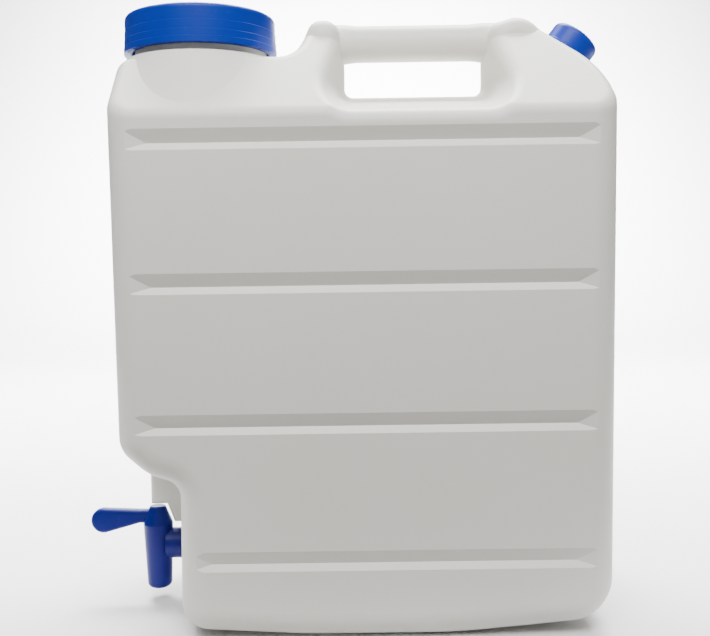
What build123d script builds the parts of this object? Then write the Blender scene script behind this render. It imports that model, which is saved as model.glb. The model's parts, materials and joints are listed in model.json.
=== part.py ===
from build123d import *
from math import atan2, cos, radians, sin, tan
import os

# Water canister with a wide screw cap, a vent cap and a lever tap.
# Millimetres. X runs along the width, Y through the depth, Z up.
# The origin is the middle of the flat base, on the parting plane Y = 0.

# Tank: overall form
half_width = 165.8
half_depth = 82.0
crown_height = 419.9
wall = 2.2
edge_round = 10.0
shoulder_drop = 28.6
shoulder_round = 12.0
lean_drop = 70.6
lean_angle = 45.0
ear_half_depth = 24.0
base_bend = 400.0
base_left_run = 125.8
base_right_run = 105.8
right_heel = 9.4
right_heel_round = 31.0
left_heel = 5.0
left_heel_round = 20.0
rim_margin = 0.5

# Tank: right-hand slope that carries the vent
slope_drop = 44.8
slope_angle = 42.0
slope_round = 54.0
crown_round = 18.0

# Tank: ears of the handle
ear_gap = 26.1
ear_top = 15.0
ear_dip = 20.0
ear_foot_run = 12.6
ear_foot_round = 14.0
right_ear_top = 10.0

# Tank: notch for the tap
notch_ceiling = 105.3
notch_depth = 40.3
notch_wall_lean = 1.8
notch_inner_round = 12.0
notch_bend_run = 20.5
notch_bend_rise = 5.5
notch_bend_round = 20.0
notch_left_rise = 18.0
notch_left_round = 20.0

# Handle
hand_drop = 51.0
hand_left_inset = 7.7
hand_right_inset = 20.2
hand_corner_round = 6.0
hand_draft = 14.0
grip_radius = 12.65
grip_drop = 1.0
grip_flare = 1.0
grip_flare_length = 8.0

# Grooves across both faces
groove_first = 53.8
groove_last_drop = 19.5
groove_count = 4
groove_depth = 3.0
groove_rise = 9.0
groove_fall = 4.5
groove_proud = 2.0
groove_run_out = 16.0
groove_side_margin = 12.0
groove_wall_margin = 6.0

# Base panels, either side of the pinch line
panel_depth = 2.0
panel_strip = 20.0
panel_rim_gap = 7.0
panel_round = 14.0
panel_draft = 45.0

# Wide neck and its cap
neck_bore = 43.0
neck_wall = 3.4
neck_length = 25.3
neck_pad_rise = 3.0
neck_pad_width = 6.6
neck_pad_flare = 30.0
cap_clearance = 2.2
cap_skirt = 5.4
cap_overhang = 2.3
cap_foot_gap = 4.6
cap_plate = 3.2
cap_edge_round = 3.0
cap_steps = 3.8, 8.5, 14.6
cap_step_depth = 0.35
seal_thickness = 2.0
seal_width = 6.0

# Vent neck and its cap, both nearly square to the slope
vent_inset = 21.8
vent_tilt_back = 4.5
vent_neck_bore = 11.2
vent_neck_wall = 2.4
vent_neck_height = 14.9
vent_pad_width = 3.4
vent_pad_height = 2.6
vent_cap_clearance = 1.8
vent_cap_skirt = 2.7
vent_cap_gap = 0.6
vent_cap_plate = 2.6
vent_cap_edge_round = 4.0
vent_cap_steps = (2.0,)
vent_step_depth = 0.5
vent_seal_thickness = 1.5
vent_seal_width = 4.0

# Web that guards the tap, on the parting plane
web_thickness = 8.0
web_edge_flat = 0.4
web_inset = 5.1
web_clearance = 1.8
web_foot_rise = 1.0

# Tap: what the barrel and the plug share
tap_inlet_height = 42.4
tap_reach = 28.2
barrel_length = 48.8
barrel_above_inlet = 15.4
barrel_top_wall = 3.3
barrel_bottom_wall = 2.7
barrel_nose_round = 4.0
plug_top_radius = 7.6
plug_bore = 4.4
plug_bottom_wall = 1.8
plug_clearance = 0.05
plug_end_gap = 2.2
snap_drop = 4.5
snap_bead = 0.5
port_radius = 4.2

# Tap: how it is held in the tank
tail_radius = 10.0
tail_clearance = 0.3
tail_end = 6.8
collar_width = 1.25
collar_start = 6.9
flange_width = 6.0
flange_thickness = 3.0
boss_width = 3.0
boss_proud = 1.23
boss_inner_proud = 0.1
tap_seal_thickness = 2.0
tap_seal_inset = 0.5
nut_wall = 5.0
nut_thickness = 8.0
nut_clearance = 0.05

# Lever
hub_height = 13.0
hub_top_radius = 5.8
hub_round = 2.0
lever_reach = 49.8
lever_end_radius = 9.3
lever_end_rise = 2.4
lever_neck_height = 10.0
lever_neck_rise = 5.3
lever_neck_run = 13.6
lever_thickness = 7.6
lever_round = 2.4

# Smallest length that counts when an edge is picked by its place
tolerance = 0.01

# Wide neck and cap: radii and heights
neck_radius = neck_bore + neck_wall
cap_bore = neck_radius + cap_clearance
cap_radius = cap_bore + cap_skirt
neck_pad_radius = neck_radius + neck_pad_width
neck_x = cap_radius - cap_overhang - half_width
shoulder_height = crown_height - shoulder_drop
neck_pad_top = shoulder_height + neck_pad_rise
neck_top = neck_pad_top + neck_length
cap_bottom = neck_pad_top + cap_foot_gap
neck_plane = Plane(origin=(neck_x, 0, 0))

# Tank: places along the width
slope_foot_height = crown_height - slope_drop
crown_right = half_width - slope_drop / tan(radians(slope_angle))
ear_inner_right = crown_right - right_ear_top
hand_right = ear_inner_right - hand_right_inset
ear_top_left = neck_x + cap_radius + ear_gap
ear_inner_left = ear_top_left + ear_top
hand_left = ear_inner_left + hand_left_inset
hand_middle = (hand_left + hand_right) / 2
base_flat_left = base_left_run - half_width
base_flat_right = half_width - base_right_run
rim_round = min(left_heel_round, right_heel_round) - edge_round - rim_margin

# Tank: heights
lean_start = crown_height - lean_drop
lean_rise = (half_depth - ear_half_depth) / tan(radians(lean_angle))
hand_floor = crown_height - hand_drop
grip_height = crown_height - grip_drop - grip_radius
groove_pitch = (lean_start - groove_last_drop - groove_first) / (groove_count - 1)

# Vent: place and planes
vent_x = half_width - vent_inset
vent_height = slope_foot_height + vent_inset * tan(radians(slope_angle))
vent_angle = slope_angle - vent_tilt_back
vent_neck_radius = vent_neck_bore + vent_neck_wall
vent_pad_radius = vent_neck_radius + vent_pad_width
vent_cap_bore = vent_neck_radius + vent_cap_clearance
vent_cap_radius = vent_cap_bore + vent_cap_skirt
vent_plane = Plane(
    origin=(vent_x, 0, vent_height),
    x_dir=(cos(radians(vent_angle)), 0, -sin(radians(vent_angle))),
    z_dir=(sin(radians(vent_angle)), 0, cos(radians(vent_angle))),
)

# Notch and the boss in its wall
notch_wall_x = notch_depth - half_width
notch_bend_x = notch_wall_x - notch_bend_run
notch_bend_height = notch_ceiling + notch_bend_rise
notch_left_height = notch_bend_height + notch_left_rise
notch_lean = notch_wall_lean / (notch_ceiling - left_heel)
flange_radius = tail_radius + flange_width
boss_radius = flange_radius + boss_width
boss_middle = notch_wall_x - notch_lean * (notch_ceiling - tap_inlet_height)
boss_face = boss_middle - notch_lean * boss_radius - boss_proud
boss_back = boss_middle + notch_lean * boss_radius + wall + boss_inner_proud
tail_tip = boss_back + nut_thickness + tail_end

# Tap: axis, heights and radii
tap_x = boss_face - tap_reach
tap_plane = Plane(origin=(0, 0, tap_inlet_height), x_dir=(0, 1, 0), z_dir=(1, 0, 0))
barrel_top = tap_inlet_height + barrel_above_inlet
barrel_bottom = barrel_top - barrel_length
plug_bottom_radius = plug_bore + plug_bottom_wall
barrel_top_radius = plug_top_radius + barrel_top_wall
barrel_bottom_radius = plug_bottom_radius + barrel_bottom_wall
snap_height = barrel_top - snap_drop
hub_top = barrel_top + hub_height
web_foot = barrel_top + web_foot_rise


def on_sides(edge, half_thickness):
    """True for an edge on either side of a plate about the parting plane."""
    return abs(abs(edge.center().Y) - half_thickness) < tolerance


def tank_corners():
    """Corners of the tank seen from the front: x, z, radius, and 1 where it is convex."""
    return [
        (base_flat_left, 0, base_bend, 1),
        (base_flat_right, 0, base_bend, 1),
        (half_width, right_heel, right_heel_round, 1),
        (half_width, slope_foot_height, slope_round, 1),
        (crown_right, crown_height, crown_round, 1),
        (ear_inner_right, crown_height, edge_round, 1),
        (hand_middle, crown_height - ear_dip, 0, -1),
        (ear_inner_left, crown_height, edge_round, 1),
        (ear_top_left, crown_height, edge_round, 1),
        (ear_top_left - ear_foot_run, shoulder_height, ear_foot_round, -1),
        (-half_width, shoulder_height, shoulder_round, 1),
        (-half_width, notch_left_height, notch_left_round, 1),
        (notch_bend_x, notch_bend_height, notch_bend_round, -1),
        (notch_wall_x, notch_ceiling, notch_inner_round, -1),
        (notch_wall_x - notch_wall_lean, left_heel, left_heel_round, 1),
    ]


def core_outline():
    """Front outline, drawn in by the edge radius that is grown back later."""
    corners = tank_corners()
    sharp = make_face(Polyline(*[(x, z) for x, z, _, _ in corners], close=True))
    core = offset(sharp, amount=-edge_round, kind=Kind.INTERSECTION)
    for x, z, radius, turn in corners:
        core_radius = radius - turn * edge_round
        if core_radius > 0:
            corner = min(core.vertices(), key=lambda v: (v.X - x) ** 2 + (v.Y - z) ** 2)
            core = fillet(corner, core_radius)
    return core


def core_side():
    """Side outline, with both faces leaning in to the handle."""
    top = crown_height + half_depth
    lean_top = lean_start + lean_rise
    points = [
        (half_depth, -half_depth),
        (half_depth, lean_start),
        (ear_half_depth, lean_top),
        (ear_half_depth, top),
    ]
    mirrored = [(-y, z) for y, z in reversed(points)]
    sharp = make_face(Polyline(*(points + mirrored), close=True))
    return offset(sharp, amount=-edge_round, kind=Kind.INTERSECTION)


def hand_scoop():
    """Gap under the grip, flaring out to both faces, kept clear of the core."""
    margin = edge_round / cos(radians(hand_draft))
    bottom = hand_floor - margin
    top = crown_height + half_depth
    width = hand_right - hand_left + 2 * margin
    gap = Pos(hand_middle, (bottom + top) / 2) * Rectangle(width, top - bottom)
    lower = gap.vertices().sort_by(Axis.Y)[:2]
    gap = fillet(lower, hand_corner_round + edge_round)
    half = extrude(Plane.XZ * gap, amount=half_depth + edge_round, taper=-hand_draft)
    return half + mirror(half, Plane.XZ)


def tank_core():
    """Sharp-edged core of the tank."""
    face_y = half_depth - edge_round
    plate = extrude(Plane.XZ * core_outline(), amount=face_y, both=True)
    rim = [
        edge for edge in plate.edges()
        if on_sides(edge, face_y) and edge.center().Z < lean_start
    ]
    plate = fillet(rim, rim_round)
    side = extrude(Plane.YZ * core_side(), amount=2 * half_width, both=True)
    return (plate & side) - hand_scoop()


def grip(inset):
    """Round grip bar between the two ears, flaring into each of them."""
    left = (hand_left + ear_top_left) / 2
    right = (hand_right + crown_right) / 2
    flared = grip_radius + grip_flare - inset
    plain = grip_radius - inset
    section = make_face(Polyline(
        (left, 0),
        (left, flared),
        (hand_left, flared),
        (hand_left + grip_flare_length, plain),
        (hand_right - grip_flare_length, plain),
        (hand_right, flared),
        (right, flared),
        (right, 0),
        close=True,
    ))
    return Pos(0, 0, grip_height) * revolve(Plane.XZ * section, Axis.X, 360)


def groove(left, right, height, inset):
    """One groove on the front face: a long slope above, a short one below, fading at its ends."""
    face = half_depth - inset
    reach = 1 + groove_proud / groove_depth
    across = Polyline(
        (-face - groove_proud, height + groove_rise * reach),
        (-face + groove_depth, height),
        (-face - groove_proud, height - groove_fall * reach),
        close=True,
    )
    along = Polyline(
        (left + groove_run_out * (1 - reach), -face - groove_proud),
        (left + groove_run_out, -face + groove_depth),
        (right - groove_run_out, -face + groove_depth),
        (right - groove_run_out * (1 - reach), -face - groove_proud),
        close=True,
    )
    trough = extrude(Plane.YZ * make_face(across), amount=half_width, both=True)
    ends = extrude(make_face(along), amount=crown_height)
    return trough & ends


def grooves(inset):
    """All grooves, on the front and the back."""
    cuts = []
    for step in range(groove_count):
        left = -half_width + groove_side_margin
        if step == 0:
            left = notch_wall_x + groove_wall_margin
        right = half_width - groove_side_margin
        height = groove_first + step * groove_pitch
        front = groove(left, right, height, inset)
        cuts += [front, mirror(front, Plane.XZ)]
    return cuts


def base_panels(inset):
    """Shallow panels in the base, either side of the strip along the pinch line."""
    inner = panel_strip / 2
    outer = half_depth - edge_round - rim_round - panel_rim_gap
    left = base_flat_left
    right = base_flat_right
    outline = Pos((left + right) / 2, (inner + outer) / 2) * RectangleRounded(
        right - left, outer - inner, panel_round
    )
    panel = Pos(0, 0, inset) * extrude(outline, amount=panel_depth, taper=panel_draft)
    if inset:
        panel += extrude(outline, amount=inset)
    return [panel, mirror(panel, Plane.XZ)]


def column(plane, radius, bottom, top):
    """Round column on a plane."""
    return plane * Pos(0, 0, (bottom + top) / 2) * Cylinder(radius, top - bottom)


def neck_pad(inset):
    """Flared pad under the wide neck, flush with the tank's end wall."""
    top = neck_pad_top - inset
    radius = neck_pad_radius - inset * tan(radians(45 - neck_pad_flare / 2))
    depth = neck_pad_top - lean_start
    foot = radius + depth * tan(radians(neck_pad_flare))
    flare = neck_plane * Pos(0, 0, top - depth / 2) * Cone(foot, radius, depth)
    if not inset:
        flare = fillet(flare.edges().group_by(Axis.Z)[-1], wall)
    room = Pos(0, 0, top) * Box(2 * (half_width - inset), 2 * half_depth, 2 * depth)
    return flare & room


def tap_web():
    """Solid web above the tap, cut back round the lever's hub."""
    left = web_inset - half_width
    right = notch_wall_x + wall
    top = notch_bend_height + wall
    hub_side = tap_x + hub_top_radius + web_clearance
    foot_side = tap_x + barrel_top_radius + web_clearance
    outline = make_face(Polyline(
        (left, top),
        (left, hub_top + web_clearance),
        (hub_side, hub_top + web_clearance),
        (foot_side, web_foot),
        (right, web_foot),
        (right, top),
        close=True,
    ))
    plate = extrude(Plane.XZ * outline, amount=web_thickness / 2, both=True)
    free = [
        edge for edge in plate.edges()
        if on_sides(edge, web_thickness / 2)
        and edge.center().X < right - tolerance and edge.center().Z < top - tolerance
    ]
    return fillet(free, web_thickness / 2 - web_edge_flat)


def make_tank():
    """Blow-moulded tank: the core grown out, less the same core grown one wall less."""
    core = tank_core().solid()
    outside = offset(core, amount=edge_round, kind=Kind.ARC)
    cavity = offset(core, amount=edge_round - wall, kind=Kind.ARC)

    outside += grip(0)
    outside += tap_web()
    outside += neck_pad(0)
    outside += column(neck_plane, neck_radius, neck_pad_top - wall, neck_top)
    vent_pad = column(vent_plane, vent_pad_radius, -wall, vent_pad_height)
    vent_neck = column(vent_plane, vent_neck_radius, 0, vent_neck_height)
    outside += [vent_pad, vent_neck]
    outside += column(tap_plane, boss_radius, boss_face, boss_back)
    outside -= grooves(0) + base_panels(0)

    cavity += grip(wall)
    cavity -= grooves(wall) + base_panels(wall)
    cavity -= column(tap_plane, boss_radius, boss_face, boss_back)
    cavity += neck_pad(wall)
    cavity += column(neck_plane, neck_bore, lean_start, neck_top + wall)
    cavity += column(vent_plane, vent_neck_bore, -2 * wall, vent_neck_height + wall)
    tank = outside - cavity
    return tank - column(tap_plane, tail_radius + tail_clearance, boss_face - wall, boss_back + wall)


def screw_cap(radius, bore, height, plate, edge, steps, step_depth):
    """Round cap, open below, whose skirt draws in by a small bevelled step at each height."""
    body = extrude(Circle(radius), amount=steps[0])
    for number, step in enumerate(steps, 1):
        top = steps[number] if number < len(steps) else height
        tier = extrude(Pos(0, 0, step) * Circle(radius - number * step_depth), amount=top - step)
        bevel_z = step + step_depth / 2
        bevel = Cone(radius - (number - 1) * step_depth, radius - number * step_depth, step_depth)
        body += [tier, Pos(0, 0, bevel_z) * bevel]
    body = fillet(body.edges().group_by(Axis.Z)[-1], edge)
    return body - extrude(Circle(bore), amount=height - plate)


def seal_ring(radius, width, thickness):
    """Flat ring seal."""
    return extrude(Circle(radius) - Circle(radius - width), amount=thickness)


def make_wide_cap():
    height = neck_top + seal_thickness + cap_plate - cap_bottom
    cap = screw_cap(cap_radius, cap_bore, height, cap_plate, cap_edge_round,
                    cap_steps, cap_step_depth)
    return neck_plane * Pos(0, 0, cap_bottom) * cap


def make_wide_seal():
    ring = seal_ring(neck_radius, seal_width, seal_thickness)
    return neck_plane * Pos(0, 0, neck_top) * ring


def make_vent_cap():
    bottom = vent_pad_height + vent_cap_gap
    height = vent_neck_height + vent_seal_thickness + vent_cap_plate - bottom
    cap = screw_cap(vent_cap_radius, vent_cap_bore, height, vent_cap_plate,
                    vent_cap_edge_round, vent_cap_steps, vent_step_depth)
    return vent_plane * Pos(0, 0, bottom) * cap


def make_vent_seal():
    ring = seal_ring(vent_neck_radius, vent_seal_width, vent_seal_thickness)
    return vent_plane * Pos(0, 0, vent_neck_height) * ring


def plug_radius(height):
    """Radius of the tapered plug at a height."""
    share = (height - barrel_bottom) / (barrel_top - barrel_bottom)
    return plug_bottom_radius + share * (plug_top_radius - plug_bottom_radius)


def taper_profile(bottom, top, grow):
    """Half section of the plug's taper, with its snap bead."""
    bead = snap_bead + grow
    return [
        (0, bottom),
        (plug_radius(bottom) + grow, bottom),
        (plug_radius(snap_height - bead) + grow, snap_height - bead),
        (plug_radius(snap_height) + bead, snap_height),
        (plug_radius(snap_height + bead) + grow, snap_height + bead),
        (plug_radius(top) + grow, top),
        (0, top),
    ]


def turned(points):
    """Solid of revolution about the tap's axis from (radius, height) points."""
    section = make_face(Plane.XZ * Polyline(*points, close=True))
    return Pos(tap_x, 0, 0) * revolve(section, Axis.Z, 360)


def make_tap_barrel():
    """Barrel, inlet collar, flange and threaded tail in one moulding."""
    barrel = turned([
        (0, barrel_bottom),
        (barrel_bottom_radius, barrel_bottom),
        (barrel_top_radius, barrel_top),
        (0, barrel_top),
    ])
    nose = barrel.edges().filter_by(GeomType.CIRCLE).sort_by(Axis.Z)[0]
    barrel = fillet(nose, barrel_nose_round)
    flange_back = boss_face - tap_seal_thickness
    collar = column(tap_plane, tail_radius + collar_width, tap_x + collar_start, flange_back)
    flange = column(tap_plane, flange_radius, flange_back - flange_thickness, flange_back)
    tail = column(tap_plane, tail_radius, flange_back, tail_tip)
    barrel += [collar, flange, tail]
    barrel -= turned(taper_profile(barrel_bottom, barrel_top, plug_clearance))
    return barrel - column(tap_plane, port_radius, tap_x, tail_tip)


def lever_blade():
    """Flat paddle, widest at its round end."""
    end_x = tap_x - lever_reach + lever_end_radius
    end_z = barrel_top + lever_end_rise
    neck_end_x = tap_x - lever_neck_run
    neck_high = barrel_top + lever_neck_rise + lever_neck_height / 2
    neck_low = neck_high - lever_neck_height
    rise = atan2(lever_end_radius - lever_neck_height / 2, neck_end_x - end_x)
    top_x = end_x + lever_end_radius * sin(rise)
    lift = lever_end_radius * cos(rise)
    blade = Line((top_x, end_z + lift), (neck_end_x, neck_high))
    root_high = Line(blade @ 1, (tap_x, neck_high))
    root = Line(root_high @ 1, (tap_x, neck_low))
    root_low = Line(root @ 1, (neck_end_x, neck_low))
    under = Line(root_low @ 1, (top_x, end_z - lift))
    tip = ThreePointArc(under @ 1, (end_x - lever_end_radius, end_z), blade @ 0)
    outline = make_face(Wire([blade, root_high, root, root_low, under, tip]))
    paddle = extrude(Plane.XZ * outline, amount=lever_thickness / 2, both=True)
    sides = [
        edge for edge in paddle.edges()
        if on_sides(edge, lever_thickness / 2) and edge.center().X < tap_x - tolerance
    ]
    return fillet(sides, lever_round)


def make_tap_lever():
    """Lever, hub and hollow tapered plug in one moulding."""
    hub = turned([
        (0, barrel_top),
        (barrel_top_radius, barrel_top),
        (hub_top_radius, hub_top),
        (0, hub_top),
    ])
    crown = hub.edges().filter_by(GeomType.CIRCLE).sort_by(Axis.Z)[-1]
    hub = fillet(crown, hub_round)
    bottom = barrel_bottom + plug_end_gap
    lever = hub + lever_blade()
    lever += turned(taper_profile(bottom, barrel_top, 0))
    lever -= Pos(tap_x, 0, (bottom + barrel_top) / 2) * Cylinder(plug_bore, barrel_top - bottom)
    port = Pos(tap_x, -plug_top_radius, tap_inlet_height) * Rot(90, 0, 0)
    return lever - port * Cylinder(port_radius, 2 * plug_top_radius)


def make_tap_seal():
    radius = flange_radius - tap_seal_inset
    ring = seal_ring(radius, radius - tail_radius - tail_clearance, tap_seal_thickness)
    return tap_plane * Pos(0, 0, boss_face - tap_seal_thickness) * ring


def make_tap_nut():
    """Hexagon nut on the tail, inside the tank."""
    blank = RegularPolygon(tail_radius + nut_wall, 6, major_radius=False)
    nut = extrude(blank - Circle(tail_radius + nut_clearance), amount=nut_thickness)
    return tap_plane * Pos(0, 0, boss_back) * nut


os.makedirs("parts", exist_ok=True)
pieces = {
    "tank_body": make_tank,
    "wide_cap": make_wide_cap,
    "wide_cap_seal": make_wide_seal,
    "vent_cap": make_vent_cap,
    "vent_cap_seal": make_vent_seal,
    "tap_barrel": make_tap_barrel,
    "tap_lever": make_tap_lever,
    "tap_seal": make_tap_seal,
    "tap_back_nut": make_tap_nut,
}
for node, make in pieces.items():
    shape = make()
    export_step(shape, f"parts/{node}.step")
    print(node, "volume", round(shape.volume), "solids", len(shape.solids()))
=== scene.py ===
import json
import math

import bmesh
import bpy
from bpy.props import FloatProperty, FloatVectorProperty, IntProperty, PointerProperty
from mathutils import Matrix, Vector
from mathutils.bvhtree import BVHTree


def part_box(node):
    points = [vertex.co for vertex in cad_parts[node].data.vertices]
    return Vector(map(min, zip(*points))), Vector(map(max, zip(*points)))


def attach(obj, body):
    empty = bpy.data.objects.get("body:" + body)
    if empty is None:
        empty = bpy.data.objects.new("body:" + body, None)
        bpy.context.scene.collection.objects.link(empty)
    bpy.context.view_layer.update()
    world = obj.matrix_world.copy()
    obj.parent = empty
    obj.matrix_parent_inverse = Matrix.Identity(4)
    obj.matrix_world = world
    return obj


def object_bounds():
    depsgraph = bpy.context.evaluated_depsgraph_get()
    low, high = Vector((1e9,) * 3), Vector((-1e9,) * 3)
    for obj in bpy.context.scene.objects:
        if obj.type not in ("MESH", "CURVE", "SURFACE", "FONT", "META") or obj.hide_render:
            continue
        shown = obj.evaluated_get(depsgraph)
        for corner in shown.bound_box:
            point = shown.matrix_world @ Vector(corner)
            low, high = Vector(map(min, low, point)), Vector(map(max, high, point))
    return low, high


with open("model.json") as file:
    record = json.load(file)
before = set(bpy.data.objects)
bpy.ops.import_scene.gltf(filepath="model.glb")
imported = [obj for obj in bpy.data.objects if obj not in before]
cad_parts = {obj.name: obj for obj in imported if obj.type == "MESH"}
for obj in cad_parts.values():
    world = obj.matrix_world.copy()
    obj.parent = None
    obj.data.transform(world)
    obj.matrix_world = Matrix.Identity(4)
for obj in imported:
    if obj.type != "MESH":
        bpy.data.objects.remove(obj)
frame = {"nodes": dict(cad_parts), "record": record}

cad_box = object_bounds()

bl_info = {
    "name": "Water carboy",
    "version": (1, 0, 0),
    "blender": (4, 5, 0),
    "location": "View3D > Sidebar > Carboy",
    "description": "Dresses the water carboy: moulding seam, screw threads, plastics and studio",
    "category": "Object",
}

PHOTO_WIDTH = 710
PHOTO_FOCAL_PIXELS = 892.1
SENSOR_WIDTH = 36.0
NEAR_CLIP = 0.01

TAIL_STEPS = 48
THREAD_SUNK = 0.0003
THREAD_RUN_OUT = 8
THREAD_FOOT_HALF = 0.34
THREAD_CREST_HALF = 0.12
NECK_CREST_SHARE = 0.5
CAP_CREST_SHARE = 0.41
LIP_TO_THREAD = 0.9

BEAD_SIDES = 6
BEAD_FLATNESS = 0.6
OUTSIDE_TEST_STEP = 1e-4

FLOOR_REACH = 1.9
FLOOR_FRONT = 0.15
FLOOR_BACK = 3.6
SWEEP_RADIUS = 1.5
SWEEP_TOP = 2.4
SWEEP_BENDS = 16
LIGHT_TARGET = (0, 0, 0.2)
STAGE_SPREAD = 90


def node_box(name):
    """Lowest and highest corner of a moulded piece, as vectors."""
    low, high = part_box(name)
    return Vector(low), Vector(high)


def joint_named(name):
    """The record's joint of that name."""
    return next(joint for joint in frame["record"]["behaviour"]["joints"] if joint["name"] == name)


class CARBOY_PG_tank(bpy.types.PropertyGroup):
    """Looks of the blow-moulded tank."""

    milky_white: FloatVectorProperty(
        name="Milky white", description="Colour of the thick polyethylene wall",
        default=(0.735, 0.727, 0.68), min=0, max=1, subtype="COLOR",
    )
    shadow_white: FloatVectorProperty(
        name="Cloudy white", description="Colour where the wall is a little thinner",
        default=(0.705, 0.692, 0.632), min=0, max=1, subtype="COLOR",
    )
    seam_radius: FloatProperty(
        name="Seam radius", description="Half the width of the moulding seam",
        default=0.00045, unit="LENGTH",
    )
    seam_spacing: FloatProperty(
        name="Seam spacing", description="Shortest step between two points of the seam",
        default=0.0015, unit="LENGTH",
    )


class CARBOY_PG_caps(bpy.types.PropertyGroup):
    """Looks of the two screw caps and of their threads."""

    wide_blue: FloatVectorProperty(
        name="Wide cap blue", description="Colour of the wide screw cap",
        default=(0.004, 0.027, 0.310), min=0, max=1, subtype="COLOR",
    )
    vent_blue: FloatVectorProperty(
        name="Vent cap blue", description="Colour of the vent's screw cap",
        default=(0.009, 0.031, 0.330), min=0, max=1, subtype="COLOR",
    )
    wide_pitch: FloatProperty(
        name="Wide thread pitch", description="Rise of the wide thread in one turn",
        default=0.006, unit="LENGTH",
    )
    wide_clearance: FloatProperty(
        name="Wide clearance", description="Room between the wide neck and its cap's bore",
        default=0.0022, unit="LENGTH",
    )
    vent_pitch: FloatProperty(
        name="Vent thread pitch", description="Rise of the vent's thread in one turn",
        default=0.003, unit="LENGTH",
    )
    vent_clearance: FloatProperty(
        name="Vent clearance", description="Room between the vent neck and its cap's bore",
        default=0.0018, unit="LENGTH",
    )
    thread_turns: FloatProperty(
        name="Thread turns", description="Turns of each cap's thread", default=1.6,
    )
    thread_steps: IntProperty(
        name="Thread steps", description="Steps in one turn of a thread", default=96, min=24,
    )


class CARBOY_PG_tap(bpy.types.PropertyGroup):
    """Looks of the lever tap."""

    barrel_blue: FloatVectorProperty(
        name="Barrel blue", description="Colour of the tap's barrel",
        default=(0.008, 0.010, 0.165), min=0, max=1, subtype="COLOR",
    )
    lever_blue: FloatVectorProperty(
        name="Lever blue", description="Colour of the tap's lever",
        default=(0.004, 0.009, 0.165), min=0, max=1, subtype="COLOR",
    )
    seal_grey: FloatVectorProperty(
        name="Seal grey", description="Colour of the soft seals",
        default=(0.55, 0.55, 0.53), min=0, max=1, subtype="COLOR",
    )
    tail_pitch: FloatProperty(
        name="Tail thread pitch", description="Rise of the tail's thread in one turn",
        default=0.002, unit="LENGTH",
    )
    tail_radius: FloatProperty(
        name="Tail radius", description="Radius of the tap's tail under its thread",
        default=0.010, unit="LENGTH",
    )
    tail_crest: FloatProperty(
        name="Tail thread height", description="How far the tail's thread stands out",
        default=0.0007, unit="LENGTH",
    )


class CARBOY_PG_studio(bpy.types.PropertyGroup):
    """Floor, lights and camera."""

    camera_place: FloatVectorProperty(
        name="Camera place", description="Where the camera stands",
        default=(-0.0047, -0.6542, 0.2655), subtype="TRANSLATION", unit="LENGTH",
    )
    camera_pitch: FloatProperty(
        name="Camera pitch", description="How far the camera looks down",
        default=math.radians(4.878), unit="ROTATION",
    )
    camera_roll: FloatProperty(
        name="Camera roll", description="How far the camera leans to its right",
        default=math.radians(0.818), unit="ROTATION",
    )
    camera_yaw: FloatProperty(
        name="Camera yaw", description="How far the camera turns to its left",
        default=math.radians(0.164), unit="ROTATION",
    )
    floor_white: FloatVectorProperty(
        name="Floor white", description="Colour of the swept floor",
        default=(0.72, 0.72, 0.72), min=0, max=1, subtype="COLOR",
    )
    sky_strength: FloatProperty(
        name="Sky strength", description="Strength of the even light from all round", default=0.1,
    )
    key_power: FloatProperty(
        name="Key light", description="Power of the large light above the front", default=30.0,
        unit="POWER",
    )
    fill_power: FloatProperty(
        name="Fill light", description="Power of the weak light behind the camera", default=2.0,
        unit="POWER",
    )
    floor_power: FloatProperty(
        name="Floor light", description="Power of the light on the floor behind the object",
        default=185.0, unit="POWER",
    )
    backdrop_power: FloatProperty(
        name="Backdrop light", description="Power of the light on the sweep behind",
        default=420.0, unit="POWER",
    )


class Signal:
    """A shader socket that takes part in Python arithmetic."""

    def __init__(self, finish, socket):
        self.finish = finish
        self.socket = socket

    def maths(self, operation, first, second=0.0, clamp=False):
        settings = {"operation": operation, "use_clamp": clamp}
        return self.finish.node("ShaderNodeMath", settings, {0: first, 1: second})

    def __add__(self, other):
        return self.maths("ADD", self, other)

    def __radd__(self, other):
        return self.maths("ADD", other, self)

    def __sub__(self, other):
        return self.maths("SUBTRACT", self, other)

    def __rsub__(self, other):
        return self.maths("SUBTRACT", other, self)

    def __mul__(self, other):
        return self.maths("MULTIPLY", self, other)

    def __rmul__(self, other):
        return self.maths("MULTIPLY", other, self)

    def clamped(self):
        return self.maths("ADD", self, 0.0, clamp=True)


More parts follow.
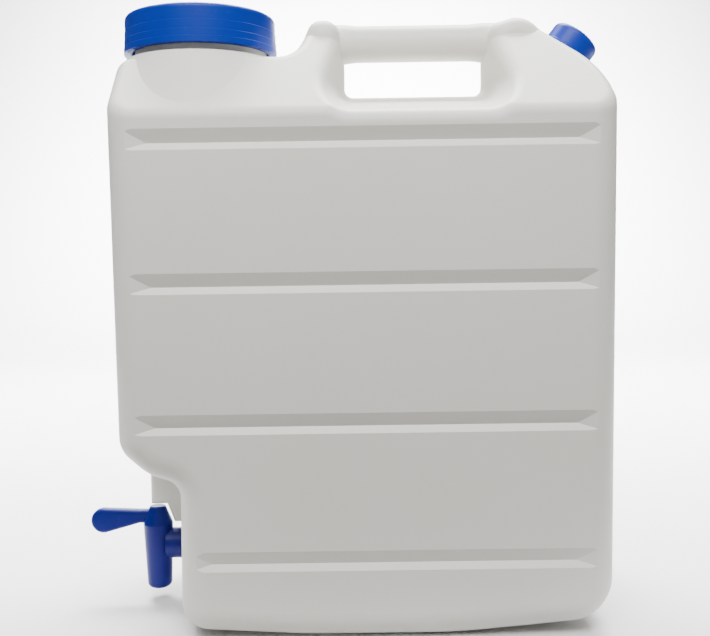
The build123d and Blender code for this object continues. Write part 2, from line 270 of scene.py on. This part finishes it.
class Finish:
    """One procedural plastic: its material, its principled shader and its output."""

    def __init__(self, name):
        self.material = bpy.data.materials.new(name)
        self.material.use_nodes = True
        self.tree = self.material.node_tree
        self.tree.nodes.clear()
        self.place = self.node("ShaderNodeTexCoord", out="Object")

    def node(self, kind, settings=None, sockets=None, out=0):
        """Any node: its type, its settings, the values or links of its sockets, its output."""
        made = self.tree.nodes.new(kind)
        for setting, value in (settings or {}).items():
            if setting == "stops":
                for stop, (position, shade) in zip(made.color_ramp.elements, value):
                    stop.position = position
                    stop.color = (shade, shade, shade, 1)
            else:
                setattr(made, setting, value)
        for name, value in (sockets or {}).items():
            if isinstance(value, Signal):
                self.tree.links.new(value.socket, made.inputs[name])
            else:
                made.inputs[name].default_value = value
        return Signal(self, made.outputs[out])

    def noise(self, scale, detail=2.0, stretch=(1, 1, 1), roughness=0.5):
        """Noise of a given scale, in cells to the metre, stretched along the axes."""
        place = self.node("ShaderNodeMapping", {}, {"Vector": self.place, "Scale": stretch})
        sockets = {"Vector": place, "Scale": scale, "Detail": detail, "Roughness": roughness}
        return self.node("ShaderNodeTexNoise", {}, sockets, out="Fac")

    def band(self, signal, low, high):
        """The signal stretched so that low reads 0 and high reads 1."""
        settings = {"stops": ((low, 0.0), (high, 1.0))}
        return self.node("ShaderNodeValToRGB", settings, {"Fac": signal})

    def blend(self, mask, first, second):
        """First colour where the mask is 0, second where it is 1."""
        settings = {"data_type": "RGBA"}
        sockets = {0: mask, 6: self.colour(first), 7: self.colour(second)}
        return self.node("ShaderNodeMix", settings, sockets, out=2)

    @staticmethod
    def colour(value):
        return value if isinstance(value, Signal) else (*value, 1.0)

    def bump(self, height, distance, strength):
        """Normal raised by a height signal."""
        sockets = {"Height": height, "Distance": distance, "Strength": strength}
        return self.node("ShaderNodeBump", {}, sockets, out="Normal")

    def close(self, **sockets):
        """Principled shader with these sockets, wired to the output."""
        named = {name.replace("_", " "): value for name, value in sockets.items()}
        shader = self.node("ShaderNodeBsdfPrincipled", {}, named, out="BSDF")
        output = self.tree.nodes.new("ShaderNodeOutputMaterial")
        self.tree.links.new(shader.socket, output.inputs["Surface"])
        return self.material


def milky_polyethylene(settings):
    """Blow-moulded wall: cloudy patches, faint drawn lines down the wall and a fine orange peel."""
    finish = Finish("milky_polyethylene")
    clouds = finish.noise(9.0, detail=3.0)
    drawn = finish.noise(260.0, detail=2.0, stretch=(1, 1, 0.03))
    peel = finish.noise(900.0, detail=2.0)
    rubbing = finish.noise(70.0, detail=6.0, stretch=(1, 1, 0.4), roughness=0.7)
    scuff = finish.band(rubbing, 0.56, 0.7)
    mask = (clouds * 1.6 - 0.35 + drawn * 0.12).clamped()
    colour = finish.blend(mask, settings.shadow_white, settings.milky_white)
    roughness = 0.37 + 0.1 * clouds + 0.08 * scuff
    normal = finish.bump(drawn * 0.5 + peel * 0.3, 0.00008, strength=0.35)
    return finish.close(
        Base_Color=colour, Roughness=roughness, Normal=normal,
        IOR=1.51, Specular_IOR_Level=0.3,
        Subsurface_Weight=0.12, Subsurface_Radius=(0.006, 0.006, 0.0055), Subsurface_Scale=1.0,
    )


def injection_plastic(name, blue, sheen=0.36):
    """Injection-moulded blue plastic: fine grain, faint flow marks and handling scuffs."""
    finish = Finish(name)
    flow = finish.noise(35.0, detail=3.0, stretch=(1, 1, 0.5))
    fine = finish.noise(1400.0, detail=1.0)
    wear = finish.band(finish.noise(160.0, detail=6.0, roughness=0.75), 0.58, 0.72)
    pale = tuple(min(1.0, 1.35 * part + 0.012) for part in blue)
    deep = tuple(0.86 * part for part in blue)
    worn_deep = finish.blend(wear * 0.35, deep, pale)
    worn_blue = finish.blend(wear * 0.3, blue, pale)
    colour = finish.blend(flow, worn_deep, worn_blue)
    roughness = sheen + 0.1 * flow + 0.12 * wear
    normal = finish.bump(fine, 0.00003, strength=0.3)
    return finish.close(
        Base_Color=colour, Roughness=roughness, Normal=normal, IOR=1.49, Specular_IOR_Level=0.2,
    )


def soft_rubber(settings):
    """Pale seal rubber with a dusty surface."""
    finish = Finish("soft_rubber")
    dust = finish.noise(320.0, detail=4.0)
    dark = tuple(0.82 * part for part in settings.seal_grey)
    colour = finish.blend(dust, dark, settings.seal_grey)
    normal = finish.bump(dust, 0.00004, strength=0.4)
    return finish.close(Base_Color=colour, Roughness=0.6 + 0.15 * dust, Normal=normal)


def swept_floor(settings):
    """Pale matt paper, a little uneven."""
    finish = Finish("swept_floor")
    fibre = finish.noise(60.0, detail=4.0)
    shade = tuple(0.985 * part for part in settings.floor_white)
    colour = finish.blend(fibre, shade, settings.floor_white)
    return finish.close(Base_Color=colour, Roughness=0.8 + 0.1 * fibre)


def dress(node, material):
    """Gives a moulded piece its finish."""
    piece = frame["nodes"][node]
    piece.data.materials.clear()
    piece.data.materials.append(material)
    return piece


def new_piece(name, mesh, body, material):
    """Adds a piece that rides with a body and takes its finish from a slot."""
    piece = bpy.data.objects.new(name, mesh)
    bpy.context.scene.collection.objects.link(piece)
    mesh.materials.append(material)
    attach(piece, body)
    return piece


def smooth_mesh(name, shape):
    """Closes a bmesh into a smooth-shaded mesh."""
    bmesh.ops.recalc_face_normals(shape, faces=shape.faces)
    mesh = bpy.data.meshes.new(name)
    shape.to_mesh(mesh)
    shape.free()
    for face in mesh.polygons:
        face.use_smooth = True
    return mesh


def skin_rings(shape, rings):
    """Skins rings of points one after another and closes both ends."""
    sides = len(rings[0])
    for first, second in zip(rings, rings[1:]):
        for side in range(sides):
            after = (side + 1) % sides
            shape.faces.new((first[side], first[after], second[after], second[side]))
    shape.faces.new(rings[0])
    shape.faces.new(tuple(reversed(rings[-1])))


def thread_mesh(name, axis_frame, root, crest, start, turns, pitch, steps):
    """Helical thread ridge with run-outs, its root sunk a little into the wall that carries it."""
    sunk = THREAD_SUNK if crest > root else -THREAD_SUNK
    shape = bmesh.new()
    count = round(turns * steps)
    rings = []
    for step in range(count + 1):
        share = step / count
        swell = min(1.0, THREAD_RUN_OUT * share, THREAD_RUN_OUT * (1 - share))
        reach = root + (crest - root) * max(swell, 0.02)
        angle = math.tau * step / steps
        height = start + pitch * step / steps
        outline = (
            (root - sunk, -THREAD_FOOT_HALF * pitch), (reach, -THREAD_CREST_HALF * pitch),
            (reach, THREAD_CREST_HALF * pitch), (root - sunk, THREAD_FOOT_HALF * pitch),
        )
        ring = []
        for radius, rise in outline:
            spot = Vector((radius * math.cos(angle), radius * math.sin(angle), height + rise))
            ring.append(shape.verts.new(axis_frame @ spot))
        rings.append(ring)
    skin_rings(shape, rings)
    return smooth_mesh(name, shape)


def axis_matrix(place, axis):
    """Frame whose Z runs along the axis, at a place."""
    turn = Vector((0, 0, 1)).rotation_difference(Vector(axis).normalized())
    return Matrix.Translation(Vector(place)) @ turn.to_matrix().to_4x4()


def parting_loops(piece, spacing):
    """Runs of points where the parting plane meets the outside of the tank."""
    shape = bmesh.new()
    shape.from_mesh(piece.data)
    tree = BVHTree.FromBMesh(shape)
    everything = shape.verts[:] + shape.edges[:] + shape.faces[:]
    cut = bmesh.ops.bisect_plane(
        shape, geom=everything, plane_co=(0, 0, 0), plane_no=(0, 1, 0), dist=1e-7,
    )["geom_cut"]
    edges = {item for item in cut if isinstance(item, bmesh.types.BMEdge)}

    def outside(edge):
        middle = (edge.verts[0].co + edge.verts[1].co) / 2
        normals = sum((face.normal for face in edge.link_faces), Vector())
        if normals.length < 1e-6:
            return False
        away = normals.normalized()
        return tree.ray_cast(middle + away * OUTSIDE_TEST_STEP, away)[0] is None

    kept = {edge for edge in edges if outside(edge)}
    runs = []
    while kept:
        edge = kept.pop()
        run = [edge.verts[0], edge.verts[1]]
        for end in (0, -1):
            while True:
                tip = run[end]
                onward = next((e for e in tip.link_edges if e in kept), None)
                if onward is None:
                    break
                kept.remove(onward)
                run.insert(0 if end == 0 else len(run), onward.other_vert(tip))
        points = [run[0].co.copy()]
        for vertex in run[1:]:
            if (vertex.co - points[-1]).length > spacing:
                points.append(vertex.co.copy())
        if len(points) > 3:
            runs.append(points)
    shape.free()
    return runs


def bead_mesh(name, runs, radius):
    """Thin round bead along runs of points on the parting plane, flat where it meets the box."""
    lowest, highest = cad_box
    shape = bmesh.new()
    for points in runs:
        rings = []
        for index, point in enumerate(points):
            before = points[max(index - 1, 0)]
            after = points[min(index + 1, len(points) - 1)]
            along = (after - before).normalized()
            across = Vector((0, 1, 0))
            up = along.cross(across).normalized()
            ring = []
            for side in range(BEAD_SIDES):
                angle = math.tau * side / BEAD_SIDES
                lift = BEAD_FLATNESS * math.sin(angle)
                spot = point + radius * (math.cos(angle) * across + lift * up)
                inside = [min(max(part, least), most)
                          for part, least, most in zip(spot, lowest, highest)]
                ring.append(shape.verts.new(inside))
            rings.append(ring)
        skin_rings(shape, rings)
    return smooth_mesh(name, shape)


class CARBOY_OT_tank(bpy.types.Operator):
    """Gives the tank its milky plastic and its moulding seam"""

    bl_idname = "carboy.tank"
    bl_label = "Tank"

    def execute(self, context):
        settings = context.scene.carboy_tank
        plastic = milky_polyethylene(settings)
        tank = dress("tank_body", plastic)
        runs = parting_loops(tank, settings.seam_spacing)
        mesh = bead_mesh("moulding_seam", runs, settings.seam_radius)
        new_piece("moulding_seam", mesh, "tank", plastic)
        return {"FINISHED"}


class CARBOY_OT_caps(bpy.types.Operator):
    """Gives the caps their plastics and cuts the threads on caps and necks"""

    bl_idname = "carboy.caps"
    bl_label = "Caps"

    def execute(self, context):
        settings = context.scene.carboy_caps
        rubber = soft_rubber(context.scene.carboy_tap)
        dress("wide_cap_seal", rubber)
        dress("vent_cap_seal", rubber)
        tank_plastic = frame["nodes"]["tank_body"].data.materials[0]
        for name in ("wide", "vent"):
            blue = getattr(settings, name + "_blue")
            pitch = getattr(settings, name + "_pitch")
            clearance = getattr(settings, name + "_clearance")
            joint = joint_named(name + "_cap_turn")
            lip = axis_matrix(joint["pos_m"], joint["axis"])
            plastic = injection_plastic(name + "_cap_plastic", blue)
            dress(name + "_cap", plastic)
            seal_low, seal_high = node_box(name + "_cap_seal")
            neck = (seal_high.y - seal_low.y) / 2
            bore = neck + clearance
            depth = -(LIP_TO_THREAD + settings.thread_turns) * pitch
            neck_crest = neck + NECK_CREST_SHARE * clearance
            cap_crest = bore - CAP_CREST_SHARE * clearance
            cap = name + "_cap"
            ridges = (
                ("_neck_thread", neck, neck_crest, depth, "tank", "tank", tank_plastic),
                ("_cap_thread", bore, cap_crest, depth - 0.5 * pitch, cap, cap, plastic),
            )
            for ending, root, crest, start, body, slot, material in ridges:
                mesh = thread_mesh(name + ending, lip, root, crest, start, settings.thread_turns,
                                   pitch, settings.thread_steps)
                new_piece(name + ending, mesh, body, material)
        return {"FINISHED"}


class CARBOY_OT_tap(bpy.types.Operator):
    """Gives the tap its plastics and the thread on its tail"""

    bl_idname = "carboy.tap"
    bl_label = "Tap"

    def execute(self, context):
        settings = context.scene.carboy_tap
        barrel = injection_plastic("tap_barrel_plastic", settings.barrel_blue, sheen=0.3)
        lever = injection_plastic("tap_lever_plastic", settings.lever_blue, sheen=0.28)
        dress("tap_barrel", barrel)
        dress("tap_back_nut", barrel)
        dress("tap_lever", lever)
        dress("tap_seal", soft_rubber(settings))
        nut_low, nut_high = node_box("tap_back_nut")
        barrel_high = node_box("tap_barrel")[1]
        middle = (nut_low + nut_high) / 2
        start = Vector((nut_high.x, middle.y, middle.z))
        length = barrel_high.x - nut_high.x
        turns = length / settings.tail_pitch - 1.0
        mesh = thread_mesh("tap_tail_thread", axis_matrix(start, (1, 0, 0)), settings.tail_radius,
                           settings.tail_radius + settings.tail_crest, settings.tail_pitch / 2,
                           turns, settings.tail_pitch, TAIL_STEPS)
        new_piece("tap_tail_thread", mesh, "tank", barrel)
        return {"FINISHED"}


def floor_sheet(material):
    """Pale floor that starts before the object and sweeps up behind it."""
    level_end = FLOOR_BACK - SWEEP_RADIUS
    outline = [Vector((0, -FLOOR_FRONT, 0)), Vector((0, level_end, 0))]
    for bend in range(1, SWEEP_BENDS + 1):
        angle = math.pi / 2 * bend / SWEEP_BENDS
        run = level_end + SWEEP_RADIUS * math.sin(angle)
        outline.append(Vector((0, run, SWEEP_RADIUS - SWEEP_RADIUS * math.cos(angle))))
    outline.append(Vector((0, FLOOR_BACK, SWEEP_TOP)))
    shape = bmesh.new()
    left = [shape.verts.new(point + Vector((-FLOOR_REACH, 0, 0))) for point in outline]
    right = [shape.verts.new(point + Vector((FLOOR_REACH, 0, 0))) for point in outline]
    for index in range(len(outline) - 1):
        shape.faces.new((left[index], right[index], right[index + 1], left[index + 1]))
    mesh = smooth_mesh("studio_floor", shape)
    floor = bpy.data.objects.new("studio_floor", mesh)
    bpy.context.scene.collection.objects.link(floor)
    mesh.materials.append(material)


def soft_light(name, place, target, power, size, spread=180):
    """Large rectangular light aimed at a point; the spread narrows its beam."""
    data = bpy.data.lights.new(name, "AREA")
    data.shape = "RECTANGLE"
    data.size, data.size_y = size
    data.spread = math.radians(spread)
    data.energy = power
    light = bpy.data.objects.new(name, data)
    bpy.context.scene.collection.objects.link(light)
    light.location = place
    light.rotation_euler = (Vector(target) - Vector(place)).to_track_quat("-Z", "Y").to_euler()


class CARBOY_OT_studio(bpy.types.Operator):
    """Adds the floor, the soft lights and the camera at the photograph's angle"""

    bl_idname = "carboy.studio"
    bl_label = "Studio"

    def execute(self, context):
        settings = context.scene.carboy_studio
        floor_sheet(swept_floor(settings))

        world = bpy.data.worlds.new("studio_sky")
        world.use_nodes = True
        sky = world.node_tree.nodes["Background"]
        sky.inputs["Color"].default_value = (1, 1, 1, 1)
        sky.inputs["Strength"].default_value = settings.sky_strength
        context.scene.world = world

        soft_light("key_light", (-0.05, -0.78, 1.2), LIGHT_TARGET, settings.key_power,
                   (1.0, 0.6))
        soft_light("fill_light", (0.1, -1.9, 0.5), LIGHT_TARGET, settings.fill_power,
                   (0.9, 0.6))
        soft_light("floor_light", (0, 1.0, 1.9), (0, 1.1, 0), settings.floor_power,
                   (2.2, 1.0), spread=STAGE_SPREAD)
        soft_light("backdrop_light", (0, 1.6, 2.4), (0, 3.2, 0.5), settings.backdrop_power,
                   (2.6, 0.6), spread=STAGE_SPREAD)

        pitch, roll, yaw = settings.camera_pitch, settings.camera_roll, settings.camera_yaw
        ahead = Vector((
            -math.sin(yaw) * math.cos(pitch), math.cos(yaw) * math.cos(pitch), -math.sin(pitch),
        ))
        level = Vector((math.cos(yaw), math.sin(yaw), 0))
        upright = level.cross(ahead)
        right = math.cos(roll) * level - math.sin(roll) * upright
        above = math.sin(roll) * level + math.cos(roll) * upright
        turn = Matrix((right, above, -ahead)).transposed().to_4x4()
        data = bpy.data.cameras.new("photo_camera")
        data.sensor_width = SENSOR_WIDTH
        data.lens = PHOTO_FOCAL_PIXELS * SENSOR_WIDTH / PHOTO_WIDTH
        data.clip_start = NEAR_CLIP
        camera = bpy.data.objects.new("photo_camera", data)
        context.scene.collection.objects.link(camera)
        camera.matrix_world = Matrix.Translation(Vector(settings.camera_place)) @ turn
        context.scene.camera = camera
        return {"FINISHED"}


class CARBOY_PT_panel(bpy.types.Panel):
    """Lists the carboy's pieces and the studio"""

    bl_idname = "CARBOY_PT_panel"
    bl_label = "Carboy"
    bl_space_type = "VIEW_3D"
    bl_region_type = "UI"
    bl_category = "Carboy"

    def draw(self, context):
        for group, operator in PIECES:
            box = self.layout.box()
            box.operator(operator)
            settings = getattr(context.scene, group)
            for name in settings.__annotations__:
                box.prop(settings, name)


PIECES = (
    ("carboy_tank", "carboy.tank"),
    ("carboy_caps", "carboy.caps"),
    ("carboy_tap", "carboy.tap"),
    ("carboy_studio", "carboy.studio"),
)
GROUPS = {
    "carboy_tank": CARBOY_PG_tank,
    "carboy_caps": CARBOY_PG_caps,
    "carboy_tap": CARBOY_PG_tap,
    "carboy_studio": CARBOY_PG_studio,
}
OPERATORS = (CARBOY_OT_tank, CARBOY_OT_caps, CARBOY_OT_tap, CARBOY_OT_studio, CARBOY_PT_panel)


def register():
    for name, group in GROUPS.items():
        bpy.utils.register_class(group)
        setattr(bpy.types.Scene, name, PointerProperty(type=group))
    for item in OPERATORS:
        bpy.utils.register_class(item)


def unregister():
    for item in reversed(OPERATORS):
        bpy.utils.unregister_class(item)
    for name, group in GROUPS.items():
        delattr(bpy.types.Scene, name)
        bpy.utils.unregister_class(group)


def main():
    register()
    bpy.ops.carboy.tank()
    bpy.ops.carboy.caps()
    bpy.ops.carboy.tap()
    bpy.ops.carboy.studio()


if __name__ == "__main__":
    main()
